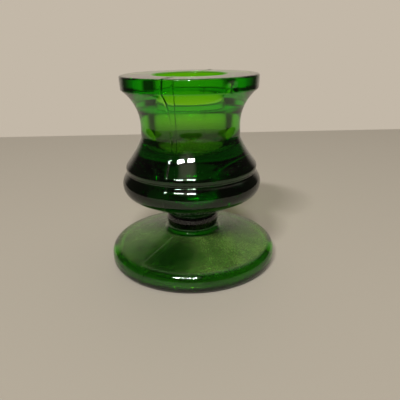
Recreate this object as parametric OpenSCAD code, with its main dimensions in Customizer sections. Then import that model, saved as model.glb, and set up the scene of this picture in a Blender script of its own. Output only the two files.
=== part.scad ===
// Short pressed-glass candlestick for one household taper candle.
// A ringed cup with a candle socket is joined by a wafer of glass to a round domed foot.
// Every piece is turned about Z. The origin is the centre of the foot's resting plane.

/* [Overall] */
// Height from the table to the top of the rim
total_h = 62; // [58:0.5:70]
// Diameter where the cup and the foot meet the wafer
join_d = 17; // [14:0.5:20]

/* [Candle socket] */
// Diameter of the straight socket wall
socket_d = 23.2; // [20:0.1:24]
// Depth of the socket below the rim
socket_depth = 25; // [15:0.5:27]
// Rounding of the socket's mouth
mouth_round = 0.8; // [0.4:0.1:1.5]
// Rounding between the socket's wall and floor
floor_round = 3; // [1:0.5:5]

/* [Cup rim] */
// Diameter of the rim at its top
rim_d = 43.6; // [42:0.2:48]
// Height of the rim's side
rim_h = 4.3; // [3:0.1:5]
// How far the rim's side leans in towards its lower edge
rim_lean = 0.15; // [0.05:0.05:1]
// Rounding of the rim's top edge
rim_round = 0.6; // [0.3:0.1:1.2]
// Radius of the hollow curve under the rim
cavetto_r = 14.3; // [13:0.1:15]

/* [Cup waist and flare] */
// Diameter of the waist
waist_d = 32.1; // [30:0.1:33]
// Radius of the curve that starts the flare below the waist
flare_start_r = 4.5; // [3:0.5:7]
// Lean of the wall where the flare's long curve starts, in degrees
flare_start_lean = 24; // [20:1:26]
// Radius of the flare's long hollow curve
flare_r = 32; // [25:1:36]
// Lean of the wall where the flare meets its lip, in degrees
flare_end_lean = 37; // [35:1:39]

/* [Cup bands] */
// Diameter of the flare's lip
lip_d = 43.2; // [43:0.1:44]
// Rounding of the lip
lip_round = 2; // [1:0.1:2.4]
// Diameter at the bottom of the groove under the lip
groove_d = 42.4; // [41.5:0.1:42.8]
// Diameter of the large band
band_d = 46; // [45.8:0.1:48]
// Rounding of the band above its widest line
band_upper_r = 5; // [4.4:0.1:5.2]
// Rounding of the band below its widest line
band_lower_r = 4.4; // [3:0.1:5]

/* [Wafer] */
// Height of the joining wafer
wafer_h = 4; // [3:0.5:6]
// How far the wafer's side bulges at mid height
wafer_bulge = 0.3; // [0.1:0.1:1]

/* [Foot] */
// Diameter of the foot
foot_d = 56.4; // [52:0.5:64]
// Height of the foot at the wafer
foot_h = 12.6; // [12:0.1:13.5]
// Slope of the foot's upper face, in degrees
foot_slope = 13.5; // [12:0.5:14.5]
// Rounding where the upper face meets the wafer
collar_r = 2.3; // [1:0.1:3]
// Rounding of the foot's upper edge
foot_edge_r = 3.5; // [3:0.1:3.6]
// Rounding of the foot's lower edge
foot_sole_r = 2; // [1.5:0.1:2.8]
// Width of the flat ring that the foot rests on
rest_w = 0.8; // [0.5:0.1:2]
// Thickness of glass between the foot's upper face and the hollow under it, measured upright
foot_wall = 4.2; // [3.6:0.1:4.4]
// Rounding at the outer edge of the hollow's ceiling
hollow_round = 2.4; // [1:0.1:3]

/* [Hidden] */
$fn = 128;
arc_steps = 12;

cup_base_z = foot_h + wafer_h;
join_r = join_d / 2;

// Foot: the collar and the edge are tangent to the sloping upper face
foot_r = foot_d / 2;
collar_centre = [join_r + collar_r, foot_h];
foot_edge_x = foot_r - foot_edge_r;
slope_run = foot_edge_x + foot_edge_r * sin(foot_slope) - collar_centre[0] + collar_r * sin(foot_slope);
foot_edge_z = foot_h - (collar_r + foot_edge_r) * cos(foot_slope) - slope_run * tan(foot_slope);
rest_outer_r = foot_r - foot_sole_r;
rest_inner_r = rest_outer_r - rest_w;
// The hollow's ceiling runs parallel to the upper face, and is level under the wafer
hollow_x = rest_inner_r - hollow_round;
hollow_z = foot_edge_z + foot_edge_r * cos(foot_slope) - foot_wall - hollow_round * cos(foot_slope)
    + (foot_edge_x - hollow_x + (foot_edge_r - hollow_round) * sin(foot_slope)) * tan(foot_slope);
hollow_top_z = hollow_z + hollow_round * cos(foot_slope)
    + (hollow_x + hollow_round * sin(foot_slope) - join_r) * tan(foot_slope);

// Cup, worked out from the top down
rim_r = rim_d / 2;
rim_low_r = rim_r - rim_lean;
rim_low_z = total_h - rim_h;
waist_r = waist_d / 2;
cavetto_x = waist_r + cavetto_r;
cavetto_top_r = rim_low_r - rim_lean;
cavetto_end = acos((cavetto_x - cavetto_top_r) / cavetto_r);
cavetto_z = rim_low_z - cavetto_r * sin(cavetto_end);

// Cup, worked out from the widest line of the band upwards
lip_r = lip_d / 2;
band_r = band_d / 2;
underside_angle = 30;
band_z = cup_base_z + (band_r - band_lower_r - join_r) * tan(underside_angle)
    + band_lower_r / cos(underside_angle);
band_top = 49;
band_top_z = band_z + band_upper_r * sin(band_top);
groove_low_h = 0.4;
groove_high_h = 0.3;
groove_z = band_top_z + groove_low_h;
lip_low = -30;
lip_z = groove_z + groove_high_h - lip_round * sin(lip_low);

// Flare: a short curve out of the waist, a long curve, then a straight run to the lip
lip_top = [lip_r - lip_round * (1 - cos(flare_end_lean)), lip_z + lip_round * sin(flare_end_lean)];
flare_start_drop = flare_start_r * sin(flare_start_lean);
flare_start_out = flare_start_r * (1 - cos(flare_start_lean));
flare_drop = flare_r * (sin(flare_end_lean) - sin(flare_start_lean));
flare_out = flare_r * (cos(flare_start_lean) - cos(flare_end_lean));
flare_run = (lip_top[0] - waist_r - flare_start_out - flare_out) / tan(flare_end_lean);
flare_end_z = lip_top[1] + flare_run;
flare_start_z = flare_end_z + flare_drop + flare_start_drop;
flare_centre = [waist_r + flare_start_out + flare_r * cos(flare_start_lean),
    flare_end_z + flare_r * sin(flare_end_lean)];

socket_r = socket_d / 2;
socket_floor_z = total_h - socket_depth;

// Points of an arc about a centre, from one angle to another. first = 1 leaves out the start point
function arc(centre, r, from, to, first = 0) =
    [for (i = [first:arc_steps])
        let (a = from + (to - from) * i / arc_steps) centre + r * [cos(a), sin(a)]];

module turned(outline) {
    rotate_extrude() polygon(outline);
}

module candle_cup() {
    underside = [[0, cup_base_z], [join_r, cup_base_z]];
    band = concat(
        arc([band_r - band_lower_r, band_z], band_lower_r, underside_angle - 90, 0),
        arc([band_r - band_upper_r, band_z], band_upper_r, 0, band_top, 1),
        [[groove_d / 2, groove_z]]);
    lip = arc([lip_r - lip_round, lip_z], lip_round, lip_low, flare_end_lean);
    flare = concat(
        arc(flare_centre, flare_r, 180 + flare_end_lean, 180 + flare_start_lean),
        arc([waist_r + flare_start_r, flare_start_z], flare_start_r, 180 + flare_start_lean, 180, 1));
    cavetto = arc([cavetto_x, cavetto_z], cavetto_r, 180, 180 - cavetto_end);
    rim = concat(
        [[rim_low_r, rim_low_z + rim_lean / 2]],
        arc([rim_r - rim_round, total_h - rim_round], rim_round, 0, 90));
    socket = concat(
        arc([socket_r + mouth_round, total_h - mouth_round], mouth_round, 90, 180),
        arc([socket_r - floor_round, socket_floor_z + floor_round], floor_round, 0, -90),
        [[0, socket_floor_z]]);
    color([0.16, 0.42, 0.08]) turned(concat(underside, band, lip, flare, cavetto, rim, socket));
}

module neck_wafer() {
    half_h = wafer_h / 2;
    side_r = (pow(half_h, 2) + pow(wafer_bulge, 2)) / (2 * wafer_bulge);
    side_half_angle = asin(half_h / side_r);
    side = arc([join_r + wafer_bulge - side_r, foot_h + half_h], side_r, -side_half_angle, side_half_angle);
    color([0.03, 0.16, 0.05]) turned(concat([[0, foot_h]], side, [[0, cup_base_z]]));
}

module foot() {
    hollow = concat(
        [[0, hollow_top_z], [join_r, hollow_top_z]],
        arc([hollow_x, hollow_z], hollow_round, 90 - foot_slope, 0),
        [[rest_inner_r, 0]]);
    sole = arc([rest_outer_r, foot_sole_r], foot_sole_r, -90, 0);
    edge = arc([foot_edge_x, foot_edge_z], foot_edge_r, 0, 90 - foot_slope);
    collar = arc(collar_centre, collar_r, 270 - foot_slope, 180);
    color([0.20, 0.38, 0.18]) turned(concat(hollow, sole, edge, collar, [[0, foot_h]]));
}

candle_cup();
neck_wafer();
foot();
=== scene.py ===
# A short pressed-glass candlestick: ringed cup, joining wafer and domed foot, on a pale table.
import math

import bmesh
import bpy
from mathutils import Matrix, Vector, noise


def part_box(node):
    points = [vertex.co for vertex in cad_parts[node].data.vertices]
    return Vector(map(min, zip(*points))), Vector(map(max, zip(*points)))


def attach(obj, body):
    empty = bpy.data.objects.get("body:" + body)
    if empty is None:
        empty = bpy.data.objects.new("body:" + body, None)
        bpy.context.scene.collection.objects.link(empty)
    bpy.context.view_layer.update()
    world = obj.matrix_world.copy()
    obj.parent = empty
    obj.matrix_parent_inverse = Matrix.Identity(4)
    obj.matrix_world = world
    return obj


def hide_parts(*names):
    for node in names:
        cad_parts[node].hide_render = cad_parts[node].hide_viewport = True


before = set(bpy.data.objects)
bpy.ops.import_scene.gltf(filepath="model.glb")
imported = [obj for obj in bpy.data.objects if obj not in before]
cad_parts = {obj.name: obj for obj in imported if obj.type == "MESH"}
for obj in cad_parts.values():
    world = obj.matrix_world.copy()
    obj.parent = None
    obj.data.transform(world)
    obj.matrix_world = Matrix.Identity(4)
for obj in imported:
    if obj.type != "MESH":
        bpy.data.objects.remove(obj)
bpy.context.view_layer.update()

MM = 0.001


# ---------------------------------------------------------------- sizes, in millimetres

def span(node):
    """The widest radius, the lowest and the highest point of a CAD node, in millimetres."""
    low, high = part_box(node)
    return high.x / MM, low.z / MM, high.z / MM


BAND_R, CUP_BASE, TOTAL_H = span("candle_cup")
FOOT_R, _, FOOT_H = span("foot")

# Candle socket
SOCKET_R = 11.6
SOCKET_DEPTH = 25
SOCKET_FLOOR = TOTAL_H - SOCKET_DEPTH
MOUTH_ROUND = 0.8
FLOOR_ROUND = 3

# Rim, and the hollow curve under it
RIM_R = 21.8
RIM_HEIGHT = 4.3
RIM_LOW = TOTAL_H - RIM_HEIGHT
RIM_LEAN = 0.15
RIM_ROUND = 0.6
RIM_LOW_ROUND = 0.35
RIM_LOW_START = -60
WAIST_R = 16.05
CAVETTO_R = 14.3

# Flare, lip, groove and band
FLARE_START_R = 4.5
FLARE_START_LEAN = 24
FLARE_R = 32
FLARE_END_LEAN = 37
LIP_R = 21.6
LIP_ROUND = 2
LIP_LOW = -30
GROOVE_R = 21.2
GROOVE_GAP_LOW = 0.4
GROOVE_GAP_HIGH = 0.3
BAND_UPPER_R = 5
BAND_LOWER_R = 4.4
BAND_TOP = 49
UNDERSIDE = 30

# Bead where the cup's underside meets the wafer
BEAD_R = 0.45
BEAD_PROUD = 0.15
BEAD_END = 20

# Wafer, and how far its ends lap into the cup and the foot
WAFER_BULGE = 0.3
LAP = 0.15
JOIN_R = span("neck_wafer")[0] - WAFER_BULGE

# Foot
FOOT_SLOPE = 13.5
COLLAR_R = 2.3
FOOT_EDGE_R = 3.5
SOLE_R = 2
REST_W = 0.8
FOOT_WALL = 4.2
HOLLOW_ROUND = 2.4
CEILING_ROUND = 20

# Mesh: steps round the axis and along the outlines
STEPS_ROUND = 288
LONGEST_STEP = 0.5
SMALL_STEPS = 8
LARGE_STEPS = 24
SAME_POINT = 1e-7
SEAM_CROWDING = 0.6

# Mould seams: where they stand round the cup and the foot, how proud and how wide they are
FRONT = -90
CUP_SEAM = FRONT - 21
FOOT_SEAM = FRONT - 38
CUP_RIDGE = 0.2
FOOT_RIDGE = 0.08
RIDGE_HALF_WIDTH = 0.25
RIDGE_WANDER = 0.35
WANDER_LENGTH = 5

# The slow waves that the mould leaves, the finer ripples of chilled glass, which are wrinkles
# beside the seams, and one burst bubble in the rim's side
WAVE_HEIGHT = 0.02
WAVE_LENGTH = 9
RIPPLE_HEIGHT = 0.003
WRINKLE_HEIGHT = 0.08
WRINKLE_SPREAD = 6.5
RIPPLE_LENGTH = 2.6
RIPPLE_STRETCH = 3
BUBBLE_AT = (FRONT + 33, 59)
BUBBLE_R = 1.3
BUBBLE_DEPTH = 0.7


# ---------------------------------------------------------------- finishes

# Bending and mirroring of light, and the depth of the skin's grain in millimetres
GLASS_IOR = 1.52
SHINE = 0.18
WAFER_SHINE = 0.04
GLASS_GRAIN = 0.003
FOOT_GRAIN = 0.008

# What the glass takes out of light that passes through it
CUP_ABSORB, CUP_DENSITY = "CFF73A", 470
WAFER_ABSORB, WAFER_DENSITY = "B0E868", 2400
FOOT_ABSORB, FOOT_DENSITY = "CFF73A", 470

# Tints of the cup: the bowl's painted shade up to one height, the upper cup's clear tint from another
UPPER_TINT = "FBFFC4"
UPPER_TINT_FROM = 54
BOWL_PAINTED_SHADE = "2C6240"
BOWL_SHADE_TO = 33
DUST_COLOUR = "B9BEAA"
WAX_COLOUR = "D6DABE"

# Tints of the wafer and of the streaks in it
WAFER_TINT = "3A5F40"
WAFER_STREAK = "4F7852"

# Tints of the foot: its sides, its top with a darker painted shade, and its sole's painted contact
# shadow between two heights
FOOT_TINT = "96D078"
TOP_PAINTED_SHADE = "406C38"
SOLE_PAINTED_SHADOW = "081405"
SOLE_DARK_BELOW = 0.7
SOLE_CLEAR_ABOVE = 2.6

# The film of dust on the foot, how far it thickens to one side, and a ragged patch at the front left
# where it is thinned as painted shade, so that the top's darker tint shows where the bowl's shadow and
# reflection fall
FILM_COLOUR = "88AE50"
FILM_CLEARNESS = 0.62
FILM_ROUGHNESS = 0.32
THICKER_REACH = 20
SHADE_PATCH_AT = (-8, -18.5, 7.5)
SHADE_PATCH_R = 18
SHADE_PATCH_RAGGED = 8
SHADE_PATCH_FILM = 0.28

# The stretch of the socket's wall that candles have smeared with wax, and how softly it ends
SMEAR_LOW = 48
SMEAR_HIGH = 53
SMEAR_FADE = 3


# ---------------------------------------------------------------- outlines

def sind(angle):
    return math.sin(math.radians(angle))


def cosd(angle):
    return math.cos(math.radians(angle))


def tand(angle):
    return math.tan(math.radians(angle))


def arc(x, z, radius, start, end, steps=12, first=0):
    """Points (radius from the axis, height) on an arc about (x, z). first=1 leaves out the start."""
    angles = [start + (end - start) * i / steps for i in range(first, steps + 1)]
    return [(x + radius * cosd(a), z + radius * sind(a)) for a in angles]


def evened(outline):
    """The outline with every long stretch cut into steps no longer than LONGEST_STEP."""
    points = [outline[0]]
    for (x0, z0), (x1, z1) in zip(outline, outline[1:]):
        cuts = max(1, math.ceil(math.hypot(x1 - x0, z1 - z0) / LONGEST_STEP))
        points += [(x0 + (x1 - x0) * i / cuts, z0 + (z1 - z0) * i / cuts) for i in range(1, cuts + 1)]
    return points


def cup_outline():
    """The cup's half section, from the joint up the outside and down into the socket."""
    band_z = (CUP_BASE + (BAND_R - BAND_LOWER_R - JOIN_R) * tand(UNDERSIDE)
              + BAND_LOWER_R / cosd(UNDERSIDE))
    groove_z = band_z + BAND_UPPER_R * sind(BAND_TOP) + GROOVE_GAP_LOW
    lip_z = groove_z + GROOVE_GAP_HIGH - LIP_ROUND * sind(LIP_LOW)
    start_drop = FLARE_START_R * sind(FLARE_START_LEAN)
    start_out = FLARE_START_R * (1 - cosd(FLARE_START_LEAN))
    drop = FLARE_R * (sind(FLARE_END_LEAN) - sind(FLARE_START_LEAN))
    out = FLARE_R * (cosd(FLARE_START_LEAN) - cosd(FLARE_END_LEAN))
    lip_top_r = LIP_R - LIP_ROUND * (1 - cosd(FLARE_END_LEAN))
    lip_top_z = lip_z + LIP_ROUND * sind(FLARE_END_LEAN)
    flare_end = lip_top_z + (lip_top_r - WAIST_R - start_out - out) / tand(FLARE_END_LEAN)
    flare_start = flare_end + drop + start_drop
    flare_x = WAIST_R + start_out + FLARE_R * cosd(FLARE_START_LEAN)
    flare_z = flare_end + FLARE_R * sind(FLARE_END_LEAN)
    rim_low_r = RIM_R - RIM_LEAN
    cavetto_x = WAIST_R + CAVETTO_R
    cavetto_end = math.degrees(math.acos((cavetto_x - rim_low_r + RIM_LEAN) / CAVETTO_R))
    cavetto_z = RIM_LOW - CAVETTO_R * sind(cavetto_end)
    return evened(
        [(0, CUP_BASE)]
        + arc(JOIN_R - BEAD_R + BEAD_PROUD, CUP_BASE + BEAD_R, BEAD_R, -90, BEAD_END, SMALL_STEPS)
        + arc(BAND_R - BAND_LOWER_R, band_z, BAND_LOWER_R, UNDERSIDE - 90, 0)
        + arc(BAND_R - BAND_UPPER_R, band_z, BAND_UPPER_R, 0, BAND_TOP, first=1)
        + [(GROOVE_R, groove_z)]
        + arc(LIP_R - LIP_ROUND, lip_z, LIP_ROUND, LIP_LOW, FLARE_END_LEAN)
        + arc(flare_x, flare_z, FLARE_R, 180 + FLARE_END_LEAN, 180 + FLARE_START_LEAN)
        + arc(WAIST_R + FLARE_START_R, flare_start, FLARE_START_R, 180 + FLARE_START_LEAN, 180, first=1)
        + arc(cavetto_x, cavetto_z, CAVETTO_R, 180, 180 - cavetto_end, LARGE_STEPS)
        + arc(rim_low_r - RIM_LOW_ROUND, RIM_LOW + RIM_LOW_ROUND, RIM_LOW_ROUND, RIM_LOW_START, 0,
              SMALL_STEPS)
        + arc(RIM_R - RIM_ROUND, TOTAL_H - RIM_ROUND, RIM_ROUND, 0, 90)
        + arc(SOCKET_R + MOUTH_ROUND, TOTAL_H - MOUTH_ROUND, MOUTH_ROUND, 90, 180)
        + arc(SOCKET_R - FLOOR_ROUND, SOCKET_FLOOR + FLOOR_ROUND, FLOOR_ROUND, 0, -90)
        + [(0, SOCKET_FLOOR)])


def wafer_outline():
    """The wafer's half section. Its ends lap a hair into the cup and the foot, as fused glass does."""
    half_h = (CUP_BASE - FOOT_H) / 2
    side_r = (half_h ** 2 + WAFER_BULGE ** 2) / (2 * WAFER_BULGE)
    half_angle = math.degrees(math.asin(half_h / side_r))
    side = arc(JOIN_R + WAFER_BULGE - side_r, FOOT_H + half_h, side_r, -half_angle, half_angle)
    low_end = [(0, FOOT_H - LAP), (JOIN_R - LAP, FOOT_H - LAP)]
    high_end = [(JOIN_R - LAP, CUP_BASE + LAP), (0, CUP_BASE + LAP)]
    return evened(low_end + side + high_end)


def foot_outline():
    """The foot's half section, from the top of the hollow underneath, round the edge, to the joint."""
    rest_outer = FOOT_R - SOLE_R
    rest_inner = rest_outer - REST_W
    edge_x = FOOT_R - FOOT_EDGE_R
    run = edge_x + (FOOT_EDGE_R + COLLAR_R) * sind(FOOT_SLOPE) - JOIN_R - COLLAR_R
    edge_z = FOOT_H - (COLLAR_R + FOOT_EDGE_R) * cosd(FOOT_SLOPE) - run * tand(FOOT_SLOPE)
    hollow_x = rest_inner - HOLLOW_ROUND
    inward = edge_x - hollow_x + (FOOT_EDGE_R - HOLLOW_ROUND) * sind(FOOT_SLOPE)
    hollow_z = (edge_z + (FOOT_EDGE_R - HOLLOW_ROUND) * cosd(FOOT_SLOPE) - FOOT_WALL
                + inward * tand(FOOT_SLOPE))
    ceiling = (hollow_z + HOLLOW_ROUND * cosd(FOOT_SLOPE)
               + (hollow_x + HOLLOW_ROUND * sind(FOOT_SLOPE) - JOIN_R) * tand(FOOT_SLOPE))
    bend_x = JOIN_R - CEILING_ROUND * tand(FOOT_SLOPE / 2)
    return evened(
        [(0, ceiling)]
        + arc(bend_x, ceiling - CEILING_ROUND, CEILING_ROUND, 90, 90 - FOOT_SLOPE)
        + arc(hollow_x, hollow_z, HOLLOW_ROUND, 90 - FOOT_SLOPE, 0)
        + [(rest_inner, 0)]
        + arc(rest_outer, SOLE_R, SOLE_R, -90, 0)
        + arc(edge_x, edge_z, FOOT_EDGE_R, 0, 90 - FOOT_SLOPE, LARGE_STEPS)
        + arc(JOIN_R + COLLAR_R, FOOT_H, COLLAR_R, 270 - FOOT_SLOPE, 180)
        + [(0, FOOT_H)])


# ---------------------------------------------------------------- turning the outlines

def crowd(angle, seam):
    """Moves an angle towards the nearer of two opposite seams, so that the mesh is fine there."""
    off = angle - math.radians(seam)
    return angle - SEAM_CROWDING * math.sin(2 * off) / 2


def turned(name, outline, seam):
    """A closed solid turned about Z from a half section whose ends lie on the axis."""
    bm = bmesh.new()
    verts = [bm.verts.new((r * MM, 0, z * MM)) for r, z in outline]
    edges = [bm.edges.new(pair) for pair in zip(verts, verts[1:])]
    bmesh.ops.spin(bm, geom=verts + edges, cent=(0, 0, 0), axis=(0, 0, 1), angle=math.tau,
                   steps=STEPS_ROUND, use_merge=True)
    bmesh.ops.remove_doubles(bm, verts=bm.verts, dist=SAME_POINT)
    bmesh.ops.recalc_face_normals(bm, faces=bm.faces)
    for v in bm.verts:
        radius = math.hypot(v.co.x, v.co.y)
        angle = crowd(math.atan2(v.co.y, v.co.x), seam)
        v.co.x, v.co.y = radius * math.cos(angle), radius * math.sin(angle)
    for face in bm.faces:
        face.smooth = True
    mesh = bpy.data.meshes.new(name)
    bm.normal_update()
    bm.to_mesh(mesh)
    bm.free()
    piece = bpy.data.objects.new(name, mesh)
    bpy.context.scene.collection.objects.link(piece)
    return piece


def relief(piece, seam, ridge_height, keep_flat, bubble_depth=0):
    """Gives the turned glass its mould seams, slow waves, chill ripples and burst bubble."""
    mesh = piece.data
    azimuth, height = BUBBLE_AT
    bubble = Vector((RIM_R * cosd(azimuth), RIM_R * sind(azimuth), height)) * MM
    normals = [v.normal.copy() for v in mesh.vertices]
    for v, normal in zip(mesh.vertices, normals):
        if keep_flat(v.co):
            continue
        radius = math.hypot(v.co.x, v.co.y) / MM
        z = v.co.z / MM
        wander = RIDGE_WANDER * noise.noise(Vector((0, 0, z / WANDER_LENGTH)))
        off = math.atan2(v.co.y, v.co.x) - math.radians(seam)
        off = (off + math.pi / 2) % math.pi - math.pi / 2
        across = (radius * off - wander) / RIDGE_HALF_WIDTH
        lift = ridge_height * math.exp(-across * across)
        lift += WAVE_HEIGHT * noise.noise(v.co / (WAVE_LENGTH * MM))
        ripple_at = Vector((v.co.x, v.co.y, v.co.z / RIPPLE_STRETCH)) / (RIPPLE_LENGTH * MM)
        wrinkled = math.exp(-(math.degrees(off) / WRINKLE_SPREAD) ** 2)
        lift += (RIPPLE_HEIGHT + WRINKLE_HEIGHT * wrinkled) * noise.noise(ripple_at)
        from_bubble = (v.co - bubble).length / (BUBBLE_R * MM)
        lift -= bubble_depth * math.exp(-from_bubble * from_bubble)
        v.co += normal * lift * MM
    mesh.update()


# ---------------------------------------------------------------- materials

def linear(colour):
    """A colour given as sRGB hex, in linear light."""
    parts = [int(colour[i:i + 2], 16) / 255 for i in (0, 2, 4)]
    return [p / 12.92 if p <= 0.04045 else ((p + 0.055) / 1.055) ** 2.4 for p in parts] + [1]


def add(tree, kind, settings=None, **links):
    """Adds a node, sets its properties and input values, and links its inputs to other sockets."""
    made = tree.nodes.new(kind)
    for key, value in (settings or {}).items():
        if hasattr(made, key) and key not in made.inputs:
            setattr(made, key, value)
        else:
            made.inputs[key].default_value = value
    for key, source in links.items():
        tree.links.new(made.inputs[key.replace("_", " ")], source)
    return made


def per_mm(spacing):
    """A noise texture's scale for features that lie this many millimetres apart."""
    return 1 / (spacing * MM)


def ramp(tree, source, low, high, to_low, to_high):
    """Maps a value smoothly from one range to another, held at both ends."""
    made = add(tree, "ShaderNodeMapRange", {
        "interpolation_type": "SMOOTHSTEP", "From Min": low, "From Max": high,
        "To Min": to_low, "To Max": to_high}, Value=source)
    return made.outputs["Result"]


def clouds(tree, coords, spacing, detail=4, roughness=0.55, distortion=0):
    """Soft irregular clouds of about the given spacing in millimetres."""
    made = add(tree, "ShaderNodeTexNoise", {
        "Scale": per_mm(spacing), "Detail": detail, "Roughness": roughness, "Distortion": distortion},
        Vector=coords)
    return made.outputs["Fac"]


def times(tree, first, second):
    """One value multiplied by another."""
    made = add(tree, "ShaderNodeMath", {"operation": "MULTIPLY"})
    tree.links.new(made.inputs[0], first)
    if isinstance(second, (int, float)):
        made.inputs[1].default_value = second
    else:
        tree.links.new(made.inputs[1], second)
    return made.outputs["Value"]


def larger(tree, first, second):
    """The larger of two values."""
    made = add(tree, "ShaderNodeMath", {"operation": "MAXIMUM"})
    tree.links.new(made.inputs[0], first)
    tree.links.new(made.inputs[1], second)
    return made.outputs["Value"]


def blended(tree, amount, first, second):
    """Goes from the first colour to the second. Each is a hex value or a colour socket."""
    made = add(tree, "ShaderNodeMix", {"data_type": "RGBA"})
    tree.links.new(made.inputs[0], amount)
    for slot, colour in ((6, first), (7, second)):
        if isinstance(colour, str):
            made.inputs[slot].default_value = linear(colour)
        else:
            tree.links.new(made.inputs[slot], colour)
    return made.outputs[2]


def new_glass(name, absorb, density, shine=SHINE):
    """Coloured soda-lime glass: its node tree, its surface shader and its object coordinates."""
    material = bpy.data.materials.new(name)
    material.use_nodes = True
    tree = material.node_tree
    tree.nodes.clear()
    out = add(tree, "ShaderNodeOutputMaterial")
    shader = add(tree, "ShaderNodeBsdfPrincipled", {
        "IOR": GLASS_IOR, "Specular IOR Level": shine, "Transmission Weight": 1})
    volume = add(tree, "ShaderNodeVolumeAbsorption", {"Color": linear(absorb), "Density": density})
    tree.links.new(out.inputs["Surface"], shader.outputs["BSDF"])
    tree.links.new(out.inputs["Volume"], volume.outputs["Volume"])
    coords = add(tree, "ShaderNodeTexCoord").outputs["Object"]
    return material, tree, shader, coords


def along(tree, vector, axis):
    """One of a vector's three parts: "X", "Y" or "Z"."""
    return add(tree, "ShaderNodeSeparateXYZ", Vector=vector).outputs[axis]


def measured(tree, operation, vector, other):
    """A vector's dot product with another vector, or its distance from another point."""
    made = add(tree, "ShaderNodeVectorMath", {"operation": operation})
    tree.links.new(made.inputs[0], vector)
    made.inputs[1].default_value = other
    return made.outputs["Value"]


def facing_up(tree, low, high):
    """One where the surface faces up, nought where it doesn't."""
    normal = add(tree, "ShaderNodeNewGeometry").outputs["Normal"]
    return ramp(tree, along(tree, normal, "Z"), low, high, 0, 1)


def off_axis(tree, coords):
    """The distance from the axis of revolution, in metres."""
    flat = add(tree, "ShaderNodeCombineXYZ", X=along(tree, coords, "X"), Y=along(tree, coords, "Y"))
    return measured(tree, "DISTANCE", flat.outputs["Vector"], (0, 0, 0))


def grain(tree, shader, height, depth_mm):
    """A bump of the given depth for the fine skin of pressed glass."""
    bump = add(tree, "ShaderNodeBump", {"Strength": 1.0, "Distance": depth_mm * MM}, Height=height)
    tree.links.new(shader.inputs["Normal"], bump.outputs["Normal"])


def cup_glass():
    """Pressed soda-lime glass, fire-polished: clear and bright where thin, nearly black where thick, and
    with a base colour that darkens towards the bowl as painted shade.

    A few smudges and specks of dust lie on the rim, and old candle wax dulls the socket.
    """
    material, tree, shader, coords = new_glass("fire_polished_green_glass", CUP_ABSORB, CUP_DENSITY)
    z = along(tree, coords, "Z")
    # Painted shade: the base colour darkens from the upper cup down to the bowl.
    height = ramp(tree, z, BOWL_SHADE_TO * MM, UPPER_TINT_FROM * MM, 0, 1)
    shaded_tint = blended(tree, height, BOWL_PAINTED_SHADE, UPPER_TINT)
    smudge = ramp(tree, clouds(tree, coords, 7, 5, 0.6, 0.4), 0.52, 0.72, 0, 1)
    speck = ramp(tree, clouds(tree, coords, 0.6, 2), 0.66, 0.74, 0, 1)
    dust = times(tree, facing_up(tree, 0.3, 0.95), larger(tree, speck, times(tree, smudge, 0.5)))
    in_socket = ramp(tree, off_axis(tree, coords), (SOCKET_R + 0.2) * MM, (SOCKET_R + 0.6) * MM, 1, 0)
    at_floor = times(tree, ramp(tree, z, (SOCKET_FLOOR + 0.5) * MM, (SOCKET_FLOOR + 4) * MM, 1, 0),
                     ramp(tree, z, (SOCKET_FLOOR - 2) * MM, (SOCKET_FLOOR - 1) * MM, 0, 1))
    crumbs = ramp(tree, clouds(tree, coords, 0.7, 3), 0.35, 0.65, 0.6, 1)
    wax = times(tree, times(tree, in_socket, at_floor), crumbs)
    dust = larger(tree, dust, wax)
    dusty = blended(tree, times(tree, dust, 0.6), shaded_tint, DUST_COLOUR)
    tree.links.new(shader.inputs["Base Color"], blended(tree, wax, dusty, WAX_COLOUR))
    clear = times(tree, ramp(tree, dust, 0, 1, 1, 0.75), ramp(tree, wax, 0, 1, 1, 0))
    tree.links.new(shader.inputs["Transmission Weight"], clear)
    smeared = times(tree, ramp(tree, z, (SMEAR_LOW - SMEAR_FADE) * MM, SMEAR_LOW * MM, 0, 1),
                    ramp(tree, z, SMEAR_HIGH * MM, (SMEAR_HIGH + SMEAR_FADE) * MM, 0.35, 0))
    soiling = larger(tree, times(tree, smudge, 0.3), dust)
    soiling = larger(tree, soiling, times(tree, in_socket, smeared))
    tree.links.new(shader.inputs["Roughness"], ramp(tree, soiling, 0, 1, 0.02, 0.3))
    grain(tree, shader, clouds(tree, coords, 1.8, 2), GLASS_GRAIN)
    return material


def wafer_glass():
    """A gather of the same glass, pressed hot between cup and foot: dense, dark and smooth."""
    material, tree, shader, coords = new_glass(
        "dense_gathered_green_glass", WAFER_ABSORB, WAFER_DENSITY, WAFER_SHINE)
    streak = clouds(tree, coords, 3, 3, 0.5, 1)
    tree.links.new(shader.inputs["Base Color"], blended(tree, streak, WAFER_TINT, WAFER_STREAK))
    tree.links.new(shader.inputs["Roughness"], ramp(tree, streak, 0.3, 0.8, 0.02, 0.08))
    grain(tree, shader, clouds(tree, coords, 1.5, 2), GLASS_GRAIN)
    return material


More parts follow.
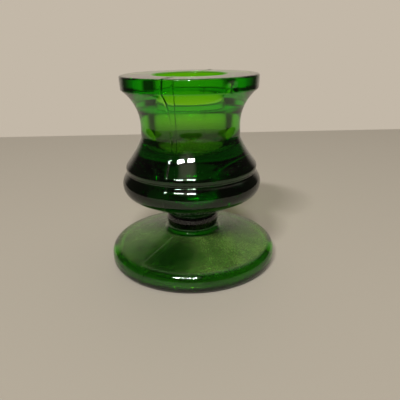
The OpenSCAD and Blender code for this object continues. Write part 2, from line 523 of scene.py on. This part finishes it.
def dust_film(tree, coords):
    """How thick the dust lies on the foot: even, fine-grained, thicker to one side, thinned in front as
    painted shade.
    """
    patches = ramp(tree, clouds(tree, coords, 7, 4, 0.6, 0.3), 0.35, 0.68, 0.72, 1)
    # Painted shade: the film thins in a ragged patch at the front left, letting the darker top tint show
    # where the bowl's shadow and reflection fall.
    ragged = add(tree, "ShaderNodeMath", {"operation": "MULTIPLY_ADD"})
    tree.links.new(ragged.inputs[0], clouds(tree, coords, 6, 6, 0.7, 1))
    ragged.inputs[1].default_value = SHADE_PATCH_RAGGED * MM
    tree.links.new(ragged.inputs[2], measured(tree, "DISTANCE", coords, Vector(SHADE_PATCH_AT) * MM))
    shade_patch = ramp(tree, ragged.outputs["Value"], SHADE_PATCH_RAGGED / 2 * MM,
                  (SHADE_PATCH_RAGGED / 2 + SHADE_PATCH_R) * MM, SHADE_PATCH_FILM, 1)
    thicker = ramp(tree, along(tree, coords, "X"), -THICKER_REACH * MM, THICKER_REACH * MM, 0.95, 1.2)
    speck = ramp(tree, clouds(tree, coords, 0.35, 2, 0.5), 0.4, 0.7, 0.62, 0.92)
    film = times(tree, times(tree, times(tree, patches, shade_patch), thicker), speck)
    fleck = ramp(tree, clouds(tree, coords, 0.8, 1), 0.8, 0.84, 0, 1)
    return larger(tree, film, fleck)


def seam_dust(tree, coords):
    """The thin line of dust that lies along the foot's mould seams."""
    across = measured(tree, "DOT_PRODUCT", coords, (-sind(FOOT_SEAM), cosd(FOOT_SEAM), 0))
    distance = add(tree, "ShaderNodeMath", {"operation": "ABSOLUTE"})
    tree.links.new(distance.inputs[0], across)
    return ramp(tree, distance.outputs["Value"], 0.06 * MM, 0.2 * MM, 0.45, 0)


def foot_glass():
    """Pressed glass under a thin film of dust: misty and finely speckled on top, clean at the rim; its
    top carries a darker painted shade and its sole a painted contact shadow.
    """
    material, tree, shader, coords = new_glass("dusty_pressed_green_glass", FOOT_ABSORB, FOOT_DENSITY)
    up = facing_up(tree, 0.75, 0.96)
    film = times(tree, up, larger(tree, dust_film(tree, coords), seam_dust(tree, coords)))
    # Painted contact shadow: the sole is nearly black below SOLE_DARK_BELOW and clears by
    # SOLE_CLEAR_ABOVE.
    sole = ramp(tree, along(tree, coords, "Z"), SOLE_DARK_BELOW * MM, SOLE_CLEAR_ABOVE * MM, 0, 1)
    # Painted shade: the top's tint is darker than the sides'.
    shaded_tint = blended(tree, sole, SOLE_PAINTED_SHADOW, blended(tree, up, FOOT_TINT, TOP_PAINTED_SHADE))
    tree.links.new(shader.inputs["Base Color"], blended(tree, film, shaded_tint, FILM_COLOUR))
    tree.links.new(shader.inputs["Transmission Weight"], ramp(tree, film, 0, 1, 1, FILM_CLEARNESS))
    tree.links.new(shader.inputs["Roughness"], ramp(tree, film, 0, 1, 0.03, FILM_ROUGHNESS))
    grain(tree, shader, clouds(tree, coords, 0.8, 3), FOOT_GRAIN)
    return material


# ---------------------------------------------------------------- the pieces

cup = turned("pressed_cup", cup_outline(), CUP_SEAM)
relief(cup, CUP_SEAM, CUP_RIDGE, lambda p: p.z < (CUP_BASE + LAP) * MM, BUBBLE_DEPTH)
wafer = turned("fused_wafer", wafer_outline(), CUP_SEAM)
foot = turned("pressed_foot", foot_outline(), FOOT_SEAM)
relief(foot, FOOT_SEAM, FOOT_RIDGE, lambda p: p.z < 0.3 * MM or p.z > (FOOT_H - LAP) * MM)

for piece, node, slot, material in (
        (cup, "candle_cup", "cup_glass", cup_glass()),
        (wafer, "neck_wafer", "wafer_glass", wafer_glass()),
        (foot, "foot", "foot_glass", foot_glass())):
    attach(piece, "root")
    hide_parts(node)
    piece.data.materials.append(material)


# ---------------------------------------------------------------- table, light and camera

TABLE_WIDTH = 434
TABLE_THICK = 18
TABLE_BEVEL = 1
TABLE_PAINT = "ADA597"

# The wall behind is lit and the sides are dim. WALL_FADE says between which directions it fades
WALL_COLOUR = "C3B8A8"
WALL_FADE = (0.62, 0.88)
DIM_SIDE = 0.08

# Two soft glows: azimuth (0 is in front), elevation, inner and outer angle, strength
FRONT_GLOW = (-11, 50, 6, 17, 1.6)
CEILING_GLOW = (145, 68, 20, 48, 1)

# Lamps: the azimuth of each, then what they share, in metres and watts
LAMP_AZIMUTHS = {"left_lamp": -25.5, "right_lamp": -1}
LAMP_ELEVATION = 44.5
LAMP_DISTANCE = 1.5
LAMP_SIZE = (0.3, 0.07)
LAMP_WATTS = 12.5

bm = bmesh.new()
bmesh.ops.create_cube(bm, size=MM)
bmesh.ops.translate(bm, vec=(0, 0, -MM / 2), verts=bm.verts)
bmesh.ops.scale(bm, vec=(TABLE_WIDTH, TABLE_WIDTH, TABLE_THICK), verts=bm.verts)
bmesh.ops.bevel(bm, geom=bm.edges[:], offset=TABLE_BEVEL * MM, offset_type="OFFSET", segments=3,
                profile=0.5, affect="EDGES", material=-1)
mesh = bpy.data.meshes.new("table")
bm.to_mesh(mesh)
bm.free()
table = bpy.data.objects.new("table", mesh)
bpy.context.scene.collection.objects.link(table)
paint = bpy.data.materials.new("matt_table_paint")
paint.use_nodes = True
coat = paint.node_tree.nodes["Principled BSDF"]
coat.inputs["Base Color"].default_value = linear(TABLE_PAINT)
coat.inputs["Roughness"].default_value = 0.7
table.data.materials.append(paint)


def pointing(azimuth, elevation):
    """The direction at an azimuth and an elevation. Azimuth 0 is on the camera's side."""
    return Vector((sind(azimuth) * cosd(elevation), -cosd(azimuth) * cosd(elevation), sind(elevation)))


def glow(tree, direction, azimuth, elevation, inner, outer, strength):
    """A round patch of light in the surroundings that fades from its inner to its outer angle."""
    towards = measured(tree, "DOT_PRODUCT", direction, pointing(azimuth, elevation))
    return ramp(tree, towards, cosd(outer), cosd(inner), 0, strength)


world = bpy.data.worlds.new("studio")
bpy.context.scene.world = world
world.use_nodes = True
sky = world.node_tree
direction = add(sky, "ShaderNodeTexCoord").outputs["Generated"]
wall = ramp(sky, along(sky, direction, "Y"), *WALL_FADE, DIM_SIDE, 1)
glows = larger(sky, glow(sky, direction, *FRONT_GLOW), glow(sky, direction, *CEILING_GLOW))
backdrop = sky.nodes["Background"]
backdrop.inputs["Color"].default_value = linear(WALL_COLOUR)
sky.links.new(backdrop.inputs["Strength"], larger(sky, wall, glows))


def lamp(name, azimuth):
    """A soft rectangular lamp aimed at the middle of the object."""
    data = bpy.data.lights.new(name, "AREA")
    data.shape, data.energy = "RECTANGLE", LAMP_WATTS
    data.size, data.size_y = LAMP_SIZE
    obj = bpy.data.objects.new(name, data)
    away = pointing(azimuth, LAMP_ELEVATION)
    obj.location = Vector((0, 0, TOTAL_H * MM / 2)) + away * LAMP_DISTANCE
    obj.rotation_euler = away.to_track_quat("Z", "Y").to_euler()
    bpy.context.scene.collection.objects.link(obj)


for lamp_name, lamp_azimuth in LAMP_AZIMUTHS.items():
    lamp(lamp_name, lamp_azimuth)

CAMERA_AWAY = 137.5
CAMERA_UP = 70.84
CAMERA_DOWN_TILT = 20.28
CAMERA_TURN = 1.11
CAMERA_ROLL = -0.95
CAMERA_LENS = 38.2

forward = Vector((sind(CAMERA_TURN) * cosd(CAMERA_DOWN_TILT), cosd(CAMERA_TURN) * cosd(CAMERA_DOWN_TILT),
                  -sind(CAMERA_DOWN_TILT)))
level = Vector((cosd(CAMERA_TURN), -sind(CAMERA_TURN), 0))
upright = level.cross(forward)
right = level * cosd(CAMERA_ROLL) + upright * sind(CAMERA_ROLL)
up = upright * cosd(CAMERA_ROLL) - level * sind(CAMERA_ROLL)
camera = bpy.data.objects.new("camera", bpy.data.cameras.new("camera"))
camera.data.lens = CAMERA_LENS
camera.data.clip_start = 0.01
camera.matrix_world = Matrix.Translation((0, -CAMERA_AWAY * MM, CAMERA_UP * MM)) @ Matrix(
    (right, up, -forward)).transposed().to_4x4()
bpy.context.scene.collection.objects.link(camera)
bpy.context.scene.camera = camera
bpy.context.scene.view_settings.view_transform = "Standard"
